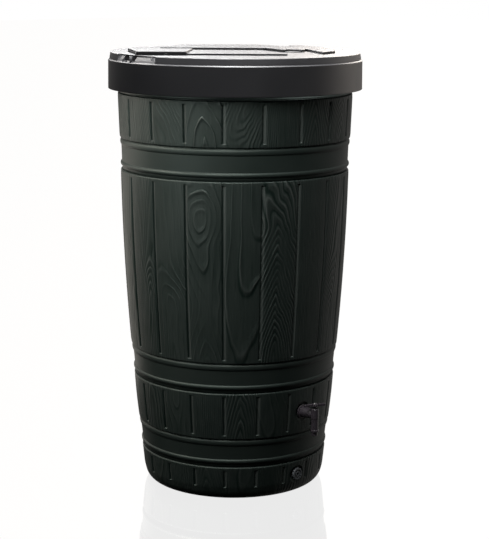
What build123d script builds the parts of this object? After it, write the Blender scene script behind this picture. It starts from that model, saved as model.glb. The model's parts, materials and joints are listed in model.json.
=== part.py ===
from build123d import *
from math import atan, cos, degrees, radians, sin
import os

# Rain barrel of about 265 litres, moulded to look like a wooden cask.
# Millimetres, +Z up, origin at the centre of the base on the floor, the tap faces -Y.
# Angles round the barrel are measured from the tap (-Y) towards +X.

# barrel wall
wall = 4.5
hoop_wall = 3.5
base_wall = 5.0
foot_curve_width = 27.5
standing_ring_width = 20.0
base_recess = 8.0

# bands of staves, lowest first: bottom z, top z, radius at the bottom, in the middle and at the top
stave_bands = [
    (30.0, 91.0, 252.5, 255.8, 258.9),
    (180.0, 301.8, 269.0, 275.8, 280.4),
    (393.0, 874.0, 288.9, 305.5, 313.7),
    (969.0, 1083.0, 316.7, 318.9, 320.9),
]

# hoops between the bands, heights from the upper edge of the band below or the lower edge of the one above
hoop_groove_depth = 5.0
hoop_groove_height = 10.0
small_bead_height = 12.0
hoop_band_inset = 3.8
large_bead_height = 15.0
large_bead_inset = 1.0
upper_gap_depth = 4.0
upper_gap_height = 8.0
band_edge_height = 4.0

# V-shaped joints between the staves
stave_count = 19
stave_first_joint_angle = 8.5
stave_joint_width = 8.0
stave_joint_depth = 3.0
stave_joint_end_margin = 7.0

# mouth of the barrel
collar_groove_depth = 6.0
collar_groove_height = 8.0
collar_edge_height = 2.0
collar_height = 77.0
collar_overhang = 3.6
rim_overhang = 14.0
rim_lip_height = 18.0
rim_wall = 5.0

# lid
lid_wall = 4.0
lid_skirt_gap = 4.1
lid_skirt_drop = 70.5
lid_skirt_draft = 0.6
lid_shoulder_rise = 10.5
lid_shoulder_bevel_width = 3.4
lid_shoulder_bevel_height = 5.5
lid_rim_draft = 1.4
lid_rim_height = 17.0
lid_rim_edge_radius = 2.5
lid_guide_gap = 3.5
lid_guide_wall = 4.0
lid_guide_drop = 14.0
lid_rib_count = 24
lid_rib_width = 3.0
lid_turn = -1.2
grip_half_angle = 12.0
grip_wall_angle = 1.0
grip_slope_depth = 12.0
grip_top_step = 4.0
pocket_offset_angle = 4.0
pocket_half_angle = 4.6
pocket_depth = 13.0
pocket_drop = 4.0
board_turn = -42.5
low_board_height = 5.0
middle_board_height = 7.5
high_board_height = 10.3
thumb_notch_radius = 23.0

# tap, G 3/4 tail
tap_height = 238.0
tap_seat_radius = 25.0
tap_seat_cut = 1.2
tap_seat_wall = 5.0
tap_pad_margin = 6.0
tap_tail_diameter = 26.4
tap_hole_clearance = 0.4
tap_tail_length = 20.0
tap_tail_bore = 15.0
tap_flange_diameter = 38.0
tap_flange_thickness = 4.0
tap_washer_diameter = 36.0
tap_washer_thickness = 2.0
tap_reach = 50.0
tap_neck_root_length = 3.0
tap_neck_root_diameter = 31.0
tap_neck_end_diameter = 21.0
tap_housing_diameter = 22.0
tap_housing_top = 17.0
tap_housing_taper = 4.0
tap_edge_chamfer = 1.0
tap_spout_length = 46.0
tap_spout_diameter = 20.0
tap_collar_diameter = 23.5
tap_collar_height = 4.0
tap_nozzle_diameter = 16.5
tap_nozzle_length = 12.0
tap_nozzle_chamfer = 1.0
tap_bore = 11.0
tap_nut_across_flats = 36.0
tap_nut_thickness = 9.0
tap_nut_chamfer = 1.0
tap_nut_washer_thickness = 2.0

# valve of the tap
core_diameter = 15.0
core_clearance = 0.06
core_below_axis = 9.0
core_above_axis = 12.0
core_port = 9.5
seal_section = 1.6
seal_land = 1.6
seal_squeeze = 0.05
stem_diameter = 8.0
handle_gap = 7.0
handle_length = 62.0
handle_width = 8.5
handle_thickness = 6.5
handle_tip_width = 7.0
handle_turn = 65.0
hub_diameter = 17.0
hub_roof = 2.0
stem_square = 5.6
handle_edge_radius = 1.5
gland_gap = 0.15
nut_thread_clearance = 0.05
screw_diameter = 4.0
screw_length = 10.0
screw_head_diameter = 8.0
screw_head_height = 2.4
screw_slot_length = 4.8
screw_slot_width = 1.0
screw_slot_depth = 1.2

# drain plug, G 3/4
drain_height = 57.0
drain_seat_radius = 24.0
drain_seat_cut = 1.2
drain_seat_wall = 8.5
drain_pad_margin = 3.0
insert_diameter = 32.0
insert_bore = 24.2
insert_flange_diameter = 40.0
insert_flange_thickness = 2.5
plug_shank_diameter = 24.1
plug_shank_length = 13.0
plug_shank_wall = 4.5
plug_head_diameter = 33.0
plug_head_thickness = 7.0
plug_head_edge_radius = 1.2
plug_head_flute_count = 12
plug_head_flute_radius = 1.6
plug_dish_diameter = 24.0
plug_dish_depth = 2.5
plug_boss_diameter = 15.0
plug_socket_across_flats = 9.0
plug_socket_depth = 6.0
gasket_thickness = 2.4
gasket_width = 4.0
gasket_clearance = 0.3

# values worked out from the sizes above
standing_ring_outer_radius = stave_bands[0][2] - foot_curve_width
band_top = stave_bands[-1][1]
band_top_radius = stave_bands[-1][4]
collar_bottom = band_top + collar_groove_height
rim_top = collar_bottom + collar_height
collar_radius = band_top_radius + collar_overhang
mouth_radius = collar_radius - rim_wall
rim_radius = collar_radius + rim_overhang
lid_skirt_radius = rim_radius + lid_skirt_gap + lid_wall
lid_rim_radius = lid_skirt_radius - lid_skirt_draft - lid_shoulder_bevel_width
floor_top = base_recess + base_wall
shoulder_top = rim_top + lid_shoulder_rise
lid_top = shoulder_top + lid_rim_height


def draw_band(band, inset):
    """Curved outline of one band of staves, moved inwards by the inset."""
    low, high, low_radius, middle_radius, high_radius = band
    pull_radius = 2 * middle_radius - (low_radius + high_radius) / 2
    return Bezier(
        (low_radius - inset, low),
        (pull_radius - inset, (low + high) / 2),
        (high_radius - inset, high),
    )


def stave_radius(z):
    """Outer radius of the staves at a height inside one of the bands."""
    for low, high, low_radius, middle_radius, high_radius in stave_bands:
        if low <= z <= high:
            t = (z - low) / (high - low)
            chord = low_radius + (high_radius - low_radius) * t
            rise = middle_radius - (low_radius + high_radius) / 2
            return chord + 4 * rise * t * (1 - t)
    raise ValueError("no staves at this height")


def hoop_line(below, above):
    """Radius of the cask line at any height between two bands."""
    def radius(z):
        return below[4] + (above[2] - below[4]) * (z - below[1]) / (above[0] - below[1])
    return radius


def draw_hoop(start, below, above):
    """Outline of one hoop: groove, small bead, flat band, large bead and gap, from below upwards."""
    line = hoop_line(below, above)
    groove_bottom = below[1] + band_edge_height
    groove_top = groove_bottom + hoop_groove_height
    bead_top = groove_top + small_bead_height
    gap_bottom = above[0] - upper_gap_height
    large_bottom = gap_bottom - large_bead_height
    edge_end = (line(below[1]) - hoop_groove_depth, groove_bottom)
    at = Bezier(start, (below[4], groove_bottom), edge_end) @ 1
    at = Line(at, (line(groove_top) - hoop_groove_depth, groove_top)) @ 1
    middle = (groove_top + bead_top) / 2
    at = ThreePointArc(at, (line(middle), middle), (line(bead_top) - hoop_band_inset, bead_top)) @ 1
    at = Line(at, (line(large_bottom) - hoop_band_inset, large_bottom)) @ 1
    middle = (large_bottom + gap_bottom) / 2
    crest = (line(middle) - large_bead_inset, middle)
    at = ThreePointArc(at, crest, (line(gap_bottom) - upper_gap_depth, gap_bottom)) @ 1
    gap_top = above[0] - band_edge_height
    at = Line(at, (line(gap_top) - upper_gap_depth, gap_top)) @ 1
    Bezier(at, (above[2], gap_top), (above[2], above[0]))


def radial_plane(angle):
    """Upright plane through the barrel's axis, its x pointing out at the angle, its y up."""
    a = radians(angle)
    return Plane(origin=(0, 0, 0), x_dir=(sin(a), -cos(a), 0), z_dir=(-cos(a), -sin(a), 0))


def outward_plane(distance, height):
    """Upright plane that faces the front at a distance from the axis, centred at a height."""
    return Plane(origin=(0, -distance, height), x_dir=(1, 0, 0), z_dir=(0, -1, 0))


def level_plane(z):
    """Level plane centred on the tap's spindle."""
    return Plane(origin=(0, -tap_axis, z), x_dir=(1, 0, 0), z_dir=(0, 0, 1))


def seat_distance(height, radius, cut):
    """Distance from the axis to a flat round seat, cut into the wall by the given depth at its foot."""
    return stave_radius(height - radius) - cut


def finish(piece, name):
    """Label a finished piece and write it to its own file."""
    piece.part.label = name
    export_step(piece.part, f"parts/{name}.step")
    print(name, len(piece.part.solids()), round(piece.part.volume / 1000, 2), "cm3", piece.part.is_valid)


# the two seats and the tap's places, as distances from the barrel's axis
tap_seat = seat_distance(tap_height, tap_seat_radius, tap_seat_cut)
drain_seat = seat_distance(drain_height, drain_seat_radius, drain_seat_cut)
tap_flange_face = tap_seat + tap_washer_thickness
tap_nut_seat = tap_seat - tap_seat_wall - tap_nut_washer_thickness
tap_axis = tap_seat + tap_reach
tap_section = Plane(origin=(0, 0, tap_height), x_dir=(0, -1, 0), z_dir=(-1, 0, 0))
tap_spindle = Axis((0, -tap_axis, 0), (0, 0, 1))

# heights inside the tap
core_bottom = tap_height - core_below_axis
core_top = tap_height + core_above_axis
hub_bottom = tap_height + tap_housing_top + handle_gap
hub_top = hub_bottom + handle_thickness
stem_top = hub_top - hub_roof
seal_heights = (
    core_bottom + seal_land + seal_section / 2,
    core_top - seal_land - seal_section / 2,
)
seal_inner_radius = core_diameter / 2 + core_clearance - seal_squeeze - seal_section
handle_angle = handle_turn - 90
handle_plane = Plane(
    origin=(0, -tap_axis, hub_bottom),
    x_dir=(cos(radians(handle_angle)), sin(radians(handle_angle)), 0),
    z_dir=(0, 0, 1),
)
gasket_inner_radius = plug_shank_diameter / 2 + gasket_clearance

# raised boards of the lid: outline and height, in a frame turned with the boards
board_plane = Plane(
    origin=(0, 0, lid_top - lid_wall / 2),
    x_dir=(cos(radians(board_turn)), sin(radians(board_turn)), 0),
    z_dir=(0, 0, 1),
)
thumb_notch_centre = (156, -38)
boards = [
    ([(-262, -196), (136, -196), (72, -20), (-262, -20)], low_board_height),
    ([(-262, -200), (-128, -200), (-116, -50), (-290, -50)], high_board_height),
    ([(-208, 57), (83, 57), (131, -34), (184, -34), (205, 90), (60, 240), (-150, 220)], middle_board_height),
    ([(231, -134), (268, -70), (250, 110), (180, 235), (152, 200)], middle_board_height),
]

os.makedirs("parts", exist_ok=True)

# solid of the barrel's outer form, closed at the axis
with BuildPart() as barrel_form:
    with BuildSketch(Plane.XZ):
        with BuildLine():
            ring_inner = standing_ring_outer_radius - standing_ring_width
            first = stave_bands[0]
            at = Polyline(
                (0, base_recess),
                (ring_inner - base_recess, base_recess),
                (ring_inner, 0),
                (standing_ring_outer_radius, 0),
            ) @ 1
            at = TangentArc(at, (first[2], first[0]), tangent=(1, 0)) @ 1
            for index, band in enumerate(stave_bands):
                at = draw_band(band, 0) @ 1
                if index + 1 < len(stave_bands):
                    draw_hoop(at, band, stave_bands[index + 1])
            groove_radius = band_top_radius - collar_groove_depth
            groove_bottom = band_top + band_edge_height
            at = Bezier(at, (band_top_radius, groove_bottom), (groove_radius, groove_bottom)) @ 1
            Polyline(
                at,
                (groove_radius, collar_bottom - collar_edge_height),
                (collar_radius, collar_bottom),
                (collar_radius, rim_top - rim_wall),
                (rim_radius - rim_wall, rim_top - rim_wall),
                (rim_radius - rim_wall, rim_top - rim_lip_height),
                (rim_radius, rim_top - rim_lip_height),
                (rim_radius, rim_top),
                (0, rim_top),
                (0, base_recess),
            )
        make_face()
    revolve(axis=Axis.Z)

# hollow of the barrel, closed at the top by its open mouth
with BuildPart() as barrel_hollow:
    with BuildSketch(Plane.XZ):
        with BuildLine():
            ring_floor = standing_ring_outer_radius - base_wall
            step_radius = standing_ring_outer_radius - standing_ring_width - base_recess
            hoop_inset = hoop_groove_depth + hoop_wall
            first = stave_bands[0]
            at = Polyline(
                (0, floor_top),
                (step_radius, floor_top),
                (step_radius + base_recess, base_wall),
                (ring_floor, base_wall),
            ) @ 1
            at = TangentArc(at, (first[2] - wall, first[0]), tangent=(1, 0)) @ 1
            for index, band in enumerate(stave_bands):
                at = draw_band(band, wall) @ 1
                if index + 1 < len(stave_bands):
                    above = stave_bands[index + 1]
                    line = hoop_line(band, above)
                    low = band[1] + band_edge_height
                    high = above[0] - upper_gap_height
                    Polyline(
                        at,
                        (line(low) - hoop_inset, low),
                        (line(high) - hoop_inset, high),
                        (above[2] - wall, above[0]),
                    )
            Polyline(
                (band_top_radius - wall, band_top),
                (groove_radius - wall, groove_bottom),
                (groove_radius - wall, collar_bottom),
                (mouth_radius, collar_bottom + mouth_radius - groove_radius + wall),
                (mouth_radius, rim_top),
                (0, rim_top),
                (0, floor_top),
            )
        make_face()
    revolve(axis=Axis.Z)
    # flat pads behind the two seats stay solid
    for height, seat, radius, thickness in (
        (tap_height, tap_seat, tap_seat_radius + tap_pad_margin, tap_seat_wall),
        (drain_height, drain_seat, drain_seat_radius + drain_pad_margin, drain_seat_wall),
    ):
        with BuildSketch(outward_plane(seat - thickness, height)):
            Circle(radius)
        extrude(amount=2 * radius, mode=Mode.SUBTRACT)

# cutter for one joint between two staves, through all bands: its V comes from the taper
with BuildPart() as stave_joint:
    joint_flank_angle = degrees(atan(stave_joint_depth / (stave_joint_width / 2)))
    joint_reach = 4 * stave_joint_depth
    for band in stave_bands:
        low = band[0] + stave_joint_end_margin
        high = band[1] - stave_joint_end_margin
        middle = (low + high) / 2
        with BuildSketch(Plane.XZ):
            with BuildLine():
                trimmed = (low, high, stave_radius(low), stave_radius(middle), stave_radius(high))
                joint_floor = draw_band(trimmed, stave_joint_depth)
                Polyline(
                    joint_floor @ 1,
                    (stave_radius(high) + joint_reach, high + joint_reach),
                    (stave_radius(middle) + 2 * joint_reach, middle),
                    (stave_radius(low) + joint_reach, low - joint_reach),
                    joint_floor @ 0,
                )
            make_face()
        extrude(amount=stave_joint_width, taper=joint_flank_angle, both=True)

# barrel
with BuildPart() as barrel_body:
    add(barrel_form.part)
    add(barrel_hollow.part, mode=Mode.SUBTRACT)
    with PolarLocations(0, stave_count, start_angle=stave_first_joint_angle - 90):
        add(stave_joint.part, mode=Mode.SUBTRACT)
    for height, seat, radius, bore in (
        (tap_height, tap_seat, tap_seat_radius, tap_tail_diameter + 2 * tap_hole_clearance),
        (drain_height, drain_seat, drain_seat_radius, insert_diameter),
    ):
        with BuildSketch(outward_plane(seat, height)):
            Circle(radius)
        extrude(amount=2 * radius, mode=Mode.SUBTRACT)
        with BuildSketch(outward_plane(seat - 2 * drain_seat_wall, height)):
            Circle(bore / 2)
        extrude(amount=4 * drain_seat_wall, mode=Mode.SUBTRACT)
finish(barrel_body, "barrel_body")

# lid
with BuildPart() as lid:
    with BuildSketch(Plane.XZ):
        with BuildLine():
            skirt_top_radius = lid_skirt_radius - lid_skirt_draft
            skirt_bottom = rim_top - lid_skirt_drop
            rim_inner = lid_rim_radius - lid_wall
            rim_top_radius = lid_rim_radius - lid_rim_draft
            guide_outer = mouth_radius - lid_guide_gap
            outline = Polyline(
                (0, lid_top),
                (rim_top_radius - lid_rim_edge_radius, lid_top),
                (rim_top_radius, lid_top - lid_rim_edge_radius),
                (lid_rim_radius, shoulder_top),
                (skirt_top_radius, shoulder_top - lid_shoulder_bevel_height),
                (lid_skirt_radius, skirt_bottom),
                (lid_skirt_radius - lid_wall, skirt_bottom),
                (skirt_top_radius - lid_wall, shoulder_top - lid_shoulder_bevel_height - lid_wall),
                (rim_inner, shoulder_top - lid_wall / 2),
                (rim_inner - lid_rim_draft, lid_top - lid_wall),
                (guide_outer, lid_top - lid_wall),
                (guide_outer, rim_top - lid_guide_drop),
                (guide_outer - lid_guide_wall, rim_top - lid_guide_drop),
                (guide_outer - lid_guide_wall, lid_top - lid_wall),
                (0, lid_top - lid_wall),
                (0, lid_top),
            )
        make_face()
    revolve(axis=Axis.Z)
    # ribs that rest on the rim of the barrel
    with BuildSketch(Plane.XY.offset(rim_top)):
        with PolarLocations((guide_outer + rim_inner) / 2, lid_rib_count, start_angle=360 / lid_rib_count / 2):
            Rectangle(rim_inner - guide_outer + lid_wall, lid_rib_width)
    extrude(amount=lid_top - lid_wall / 2 - rim_top)
    # two hand grips, each a sloped cut in the rim with a finger pocket
    for side in (-90, 90):
        grip_angle = side + lid_turn
        with BuildSketch(radial_plane(grip_angle - grip_half_angle - grip_wall_angle)):
            with BuildLine():
                Polyline(
                    (rim_inner + lid_wall / 2, rim_top + lid_wall),
                    (rim_inner + lid_wall / 2, lid_top - lid_wall / 2),
                    (rim_inner - grip_slope_depth, lid_top - lid_wall / 2),
                    (rim_inner - grip_slope_depth, rim_top + lid_wall),
                    close=True,
                )
            make_face()
        revolve(axis=Axis.Z, revolution_arc=2 * (grip_half_angle + grip_wall_angle))
        with BuildSketch(radial_plane(grip_angle - grip_half_angle)):
            with BuildLine():
                Polyline(
                    (lid_rim_radius, shoulder_top),
                    (lid_rim_radius + lid_wall, shoulder_top),
                    (lid_rim_radius + lid_wall, lid_top + lid_wall),
                    (lid_rim_radius - grip_slope_depth, lid_top + lid_wall),
                    (lid_rim_radius - grip_slope_depth, lid_top - grip_top_step),
                    close=True,
                )
            make_face()
        revolve(axis=Axis.Z, revolution_arc=2 * grip_half_angle, mode=Mode.SUBTRACT)
        with BuildSketch(radial_plane(grip_angle - pocket_offset_angle - pocket_half_angle)):
            with BuildLine():
                pocket_floor = shoulder_top - pocket_drop
                Polyline(
                    (lid_rim_radius + lid_wall, pocket_floor),
                    (lid_rim_radius + lid_wall, lid_top - grip_top_step),
                    (lid_rim_radius - pocket_depth, lid_top - grip_top_step),
                    (lid_rim_radius - pocket_depth, pocket_floor + pocket_drop),
                    (lid_rim_radius - pocket_depth + pocket_drop, pocket_floor),
                    close=True,
                )
            make_face()
        revolve(axis=Axis.Z, revolution_arc=2 * pocket_half_angle, mode=Mode.SUBTRACT)
    # raised boards on the top
    for outline, height in boards:
        with BuildSketch(board_plane):
            with BuildLine():
                Polyline(*outline, close=True)
            make_face()
        extrude(amount=height + lid_wall / 2)
    with BuildSketch(board_plane.offset(lid_wall / 2 + low_board_height / 2)):
        with Locations(thumb_notch_centre):
            Circle(thumb_notch_radius)
    extrude(amount=middle_board_height, mode=Mode.SUBTRACT)
finish(lid, "lid")

# tap
with BuildPart() as tap_body:
    with BuildSketch(tap_section):
        with BuildLine():
            tail_end = tap_flange_face - tap_tail_length
            neck_root = tap_flange_face + tap_flange_thickness
            Polyline(
                (tail_end, 0),
                (tail_end, tap_tail_diameter / 2 - tap_edge_chamfer),
                (tail_end + tap_edge_chamfer, tap_tail_diameter / 2),
                (tap_flange_face, tap_tail_diameter / 2),
                (tap_flange_face, tap_flange_diameter / 2),
                (neck_root - tap_edge_chamfer, tap_flange_diameter / 2),
                (neck_root, tap_flange_diameter / 2 - tap_edge_chamfer),
                (neck_root, tap_neck_root_diameter / 2),
                (neck_root + tap_neck_root_length, tap_neck_root_diameter / 2),
                (tap_axis, tap_neck_end_diameter / 2),
                (tap_axis, 0),
                close=True,
            )
        make_face()
    revolve(axis=Axis((0, 0, tap_height), (0, 1, 0)))
    with BuildSketch(tap_section):
        with BuildLine():
            collar_top = -tap_spout_length + tap_collar_height
            nozzle_end = -tap_spout_length - tap_nozzle_length
            housing_radius = tap_housing_diameter / 2
            nozzle_radius = tap_nozzle_diameter / 2
            Polyline(
                (tap_axis, tap_housing_top),
                (tap_axis + housing_radius - tap_edge_chamfer, tap_housing_top),
                (tap_axis + housing_radius, tap_housing_top - tap_edge_chamfer),
                (tap_axis + housing_radius, -core_below_axis),
                (tap_axis + tap_spout_diameter / 2, -core_below_axis - tap_housing_taper),
                (tap_axis + tap_spout_diameter / 2, collar_top + tap_edge_chamfer),
                (tap_axis + tap_collar_diameter / 2, collar_top),
                (tap_axis + tap_collar_diameter / 2, -tap_spout_length),
                (tap_axis + nozzle_radius, -tap_spout_length),
                (tap_axis + nozzle_radius, nozzle_end + tap_nozzle_chamfer),
                (tap_axis + nozzle_radius - tap_nozzle_chamfer, nozzle_end),
                (tap_axis, nozzle_end),
                close=True,
            )
        make_face()
    revolve(axis=tap_spindle)
    with BuildSketch(outward_plane(tail_end, tap_height)):
        Circle(tap_tail_bore / 2)
    extrude(amount=tap_tail_length, mode=Mode.SUBTRACT)
    with BuildSketch(outward_plane(tail_end, tap_height)):
        Circle(core_port / 2)
    extrude(amount=tap_axis - tail_end, mode=Mode.SUBTRACT)
    with BuildSketch(level_plane(tap_height - core_below_axis)):
        Circle(core_diameter / 2 + core_clearance)
    extrude(amount=core_below_axis + tap_housing_top, mode=Mode.SUBTRACT)
    with BuildSketch(level_plane(tap_height + nozzle_end)):
        Circle(tap_bore / 2)
    extrude(amount=-nozzle_end, mode=Mode.SUBTRACT)
finish(tap_body, "tap_body")

# flat rubber washer under the tap's flange
with BuildPart() as tap_outer_washer:
    with BuildSketch(outward_plane(tap_seat, tap_height)):
        Circle(tap_washer_diameter / 2)
        Circle(tap_tail_diameter / 2 + tap_hole_clearance / 2, mode=Mode.SUBTRACT)
    extrude(amount=tap_washer_thickness)
finish(tap_outer_washer, "tap_outer_washer")

# flat rubber washer under the nut, inside the barrel
with BuildPart() as tap_inner_washer:
    with BuildSketch(outward_plane(tap_nut_seat, tap_height)):
        Circle(tap_washer_diameter / 2)
        Circle(tap_tail_diameter / 2 + tap_hole_clearance / 2, mode=Mode.SUBTRACT)
    extrude(amount=tap_nut_washer_thickness)
finish(tap_inner_washer, "tap_inner_washer")

# hexagonal nut that clamps the tap from inside
with BuildPart() as tap_lock_nut:
    with BuildSketch(outward_plane(tap_nut_seat - tap_nut_thickness, tap_height)):
        RegularPolygon(tap_nut_across_flats / 2, 6, major_radius=False)
        Circle(tap_tail_diameter / 2 + nut_thread_clearance, mode=Mode.SUBTRACT)
    extrude(amount=tap_nut_thickness)
    chamfer(tap_lock_nut.edges().group_by(Axis.Y)[0].filter_by(GeomType.LINE), tap_nut_chamfer)
finish(tap_lock_nut, "tap_lock_nut")

# turning core with an elbow port: the side port meets the tail when open
with BuildPart() as tap_valve_core:
    with BuildSketch(level_plane(core_bottom)):
        Circle(core_diameter / 2)
    extrude(amount=core_top - core_bottom)
    with BuildSketch(level_plane(core_top)):
        Circle(stem_diameter / 2)
    extrude(amount=hub_bottom - core_top)
    with BuildSketch(level_plane(hub_bottom)):
        Rectangle(stem_square, stem_square, rotation=handle_angle)
    extrude(amount=stem_top - hub_bottom)
    with BuildSketch(level_plane(core_bottom)):
        Circle(tap_bore / 2)
    extrude(amount=core_below_axis + core_port / 2, mode=Mode.SUBTRACT)
    with BuildSketch(Plane(origin=(0, -tap_axis, tap_height), x_dir=(0, 1, 0), z_dir=(1, 0, 0))):
        Circle(core_port / 2)
    extrude(amount=core_diameter, mode=Mode.SUBTRACT)
    with BuildSketch(level_plane(stem_top)):
        Circle(screw_diameter / 2)
    extrude(amount=-screw_length, mode=Mode.SUBTRACT)
    for height in seal_heights:
        with BuildSketch(level_plane(height - seal_section / 2)):
            Circle(core_diameter)
            Circle(seal_inner_radius, mode=Mode.SUBTRACT)
        extrude(amount=seal_section, mode=Mode.SUBTRACT)
finish(tap_valve_core, "tap_valve_core")

# two rings that seal the core
with BuildPart() as tap_core_seals:
    for height in seal_heights:
        with BuildSketch(tap_section):
            with Locations((tap_axis + seal_inner_radius + seal_section / 2, height - tap_height)):
                Circle(seal_section / 2)
        revolve(axis=tap_spindle)
finish(tap_core_seals, "tap_core_seals")

# ring that holds the core down in the housing
with BuildPart() as tap_gland_ring:
    with BuildSketch(level_plane(core_top + gland_gap)):
        Circle(core_diameter / 2 + core_clearance)
        Circle(stem_diameter / 2 + gland_gap, mode=Mode.SUBTRACT)
    extrude(amount=tap_height + tap_housing_top - core_top - gland_gap)
finish(tap_gland_ring, "tap_gland_ring")

# cross handle
with BuildPart() as tap_handle:
    with BuildSketch(handle_plane):
        tip = handle_tip_width / 2
        with Locations((handle_length / 2 - tip, 0), (tip - handle_length / 2, 0)):
            Circle(tip)
        with Locations((0, 0)):
            Circle(handle_width / 2)
        make_hull()
        Circle(hub_diameter / 2)
    extrude(amount=handle_thickness)
    fillet(tap_handle.faces().sort_by(Axis.Z)[-1].edges(), handle_edge_radius)
    with BuildSketch(handle_plane):
        Rectangle(stem_square + 2 * core_clearance, stem_square + 2 * core_clearance)
    extrude(amount=stem_top - hub_bottom + core_clearance, mode=Mode.SUBTRACT)
    with BuildSketch(handle_plane):
        Circle(screw_diameter / 2 + core_clearance)
    extrude(amount=handle_thickness, mode=Mode.SUBTRACT)
finish(tap_handle, "tap_handle")

# screw that holds the handle on the stem
with BuildPart() as tap_handle_screw:
    with BuildSketch(level_plane(stem_top - screw_length)):
        Circle(screw_diameter / 2)
    extrude(amount=hub_top - stem_top + screw_length)
    with BuildSketch(level_plane(hub_top)):
        Circle(screw_head_diameter / 2)
    extrude(amount=screw_head_height)
    fillet(tap_handle_screw.edges().sort_by(Axis.Z)[-1], screw_head_height / 2)
    with BuildSketch(level_plane(hub_top + screw_head_height)):
        Rectangle(screw_slot_length, screw_slot_width)
        Rectangle(screw_slot_width, screw_slot_length)
    extrude(amount=-screw_slot_depth, mode=Mode.SUBTRACT)
finish(tap_handle_screw, "tap_handle_screw")

# threaded bush moulded into the wall for the drain plug
with BuildPart() as drain_insert:
    insert_inner_face = drain_seat - drain_seat_wall
    with BuildSketch(outward_plane(insert_inner_face, drain_height)):
        Circle(insert_diameter / 2)
    extrude(amount=drain_seat_wall)
    with BuildSketch(outward_plane(insert_inner_face - insert_flange_thickness, drain_height)):
        Circle(insert_flange_diameter / 2)
    extrude(amount=insert_flange_thickness)
    with BuildSketch(outward_plane(insert_inner_face - insert_flange_thickness, drain_height)):
        Circle(insert_bore / 2)
    extrude(amount=drain_seat_wall + insert_flange_thickness, mode=Mode.SUBTRACT)
finish(drain_insert, "drain_insert")

# flat ring under the head of the drain plug
with BuildPart() as drain_gasket:
    with BuildSketch(outward_plane(drain_seat, drain_height)):
        Circle(gasket_inner_radius + gasket_width)
        Circle(gasket_inner_radius, mode=Mode.SUBTRACT)
    extrude(amount=gasket_thickness)
finish(drain_gasket, "drain_gasket")

# drain plug with a fluted head
with BuildPart() as drain_plug:
    head_inner_face = drain_seat + gasket_thickness
    with BuildSketch(outward_plane(head_inner_face, drain_height)):
        Circle(plug_head_diameter / 2)
    extrude(amount=plug_head_thickness)
    fillet(drain_plug.edges().sort_by(Axis.Y)[0], plug_head_edge_radius)
    with BuildSketch(outward_plane(head_inner_face, drain_height)):
        with PolarLocations(plug_head_diameter / 2, plug_head_flute_count):
            Circle(plug_head_flute_radius)
    extrude(amount=plug_head_thickness, mode=Mode.SUBTRACT)
    head_face = head_inner_face + plug_head_thickness
    with BuildSketch(outward_plane(head_face, drain_height)):
        Circle(plug_dish_diameter / 2)
        Circle(plug_boss_diameter / 2, mode=Mode.SUBTRACT)
    extrude(amount=-plug_dish_depth, mode=Mode.SUBTRACT)
    with BuildSketch(outward_plane(head_inner_face - plug_shank_length, drain_height)):
        Circle(plug_shank_diameter / 2)
    extrude(amount=plug_shank_length)
    with BuildSketch(outward_plane(head_inner_face - plug_shank_length, drain_height)):
        Circle(plug_shank_diameter / 2 - plug_shank_wall)
    extrude(amount=plug_shank_length - plug_shank_wall, mode=Mode.SUBTRACT)
    with BuildSketch(outward_plane(head_face, drain_height)):
        RegularPolygon(plug_socket_across_flats / 2, 6, major_radius=False)
    extrude(amount=-plug_socket_depth, mode=Mode.SUBTRACT)
finish(drain_plug, "drain_plug")
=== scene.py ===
import json
from functools import partialmethod
from math import cos, pi, radians, sin, sqrt

import bpy
import numpy as np
from mathutils import Matrix, Vector

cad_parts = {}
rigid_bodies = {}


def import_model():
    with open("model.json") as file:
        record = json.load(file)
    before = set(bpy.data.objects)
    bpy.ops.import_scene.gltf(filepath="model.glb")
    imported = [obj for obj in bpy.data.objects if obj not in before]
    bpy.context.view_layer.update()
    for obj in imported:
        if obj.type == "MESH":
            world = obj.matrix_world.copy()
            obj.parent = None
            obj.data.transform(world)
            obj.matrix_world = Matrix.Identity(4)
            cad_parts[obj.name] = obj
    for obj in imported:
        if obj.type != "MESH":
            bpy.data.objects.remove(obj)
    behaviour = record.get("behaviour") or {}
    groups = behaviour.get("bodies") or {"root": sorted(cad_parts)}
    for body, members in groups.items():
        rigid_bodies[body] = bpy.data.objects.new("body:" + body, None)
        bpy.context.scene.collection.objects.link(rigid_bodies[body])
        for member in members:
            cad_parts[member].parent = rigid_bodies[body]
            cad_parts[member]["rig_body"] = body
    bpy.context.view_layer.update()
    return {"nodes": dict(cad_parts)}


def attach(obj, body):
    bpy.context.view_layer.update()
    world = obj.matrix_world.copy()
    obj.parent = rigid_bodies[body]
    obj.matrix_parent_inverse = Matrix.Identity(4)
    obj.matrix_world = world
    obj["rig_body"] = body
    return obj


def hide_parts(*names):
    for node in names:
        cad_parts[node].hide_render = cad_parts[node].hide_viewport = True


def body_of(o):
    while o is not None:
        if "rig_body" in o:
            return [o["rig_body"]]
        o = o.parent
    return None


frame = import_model()
print("frame loaded")

# Lengths below are millimetres and become metres in buildMesh. Angles round the barrel
# are counted from the tap (-Y) towards +X.


def smoothStep(x, low, high):
    # t*t*(3 - 2*t) with t = (x - low) / (high - low), held between 0 and 1
    t = np.clip((x - low) / (high - low), 0, 1)
    return t * t * (3 - 2 * t)


def buildMesh(name, vertices, quads, triangles=(), cornerValues=None):
    # quads come first, so the values given for their corners come first too
    mesh = bpy.data.meshes.new(name)
    mesh.from_pydata((vertices / 1000).tolist(), [], quads.tolist() + [list(t) for t in triangles])
    for key, values in (cornerValues or {}).items():
        values = np.append(values, np.zeros(3 * len(triangles)))
        layer = mesh.attributes.new(key, "FLOAT", "CORNER")
        layer.data.foreach_set("value", values.astype(np.float32))
    mesh.polygons.foreach_set("use_smooth", np.arange(len(mesh.polygons)) < len(quads))
    mesh.update()
    return mesh


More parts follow.
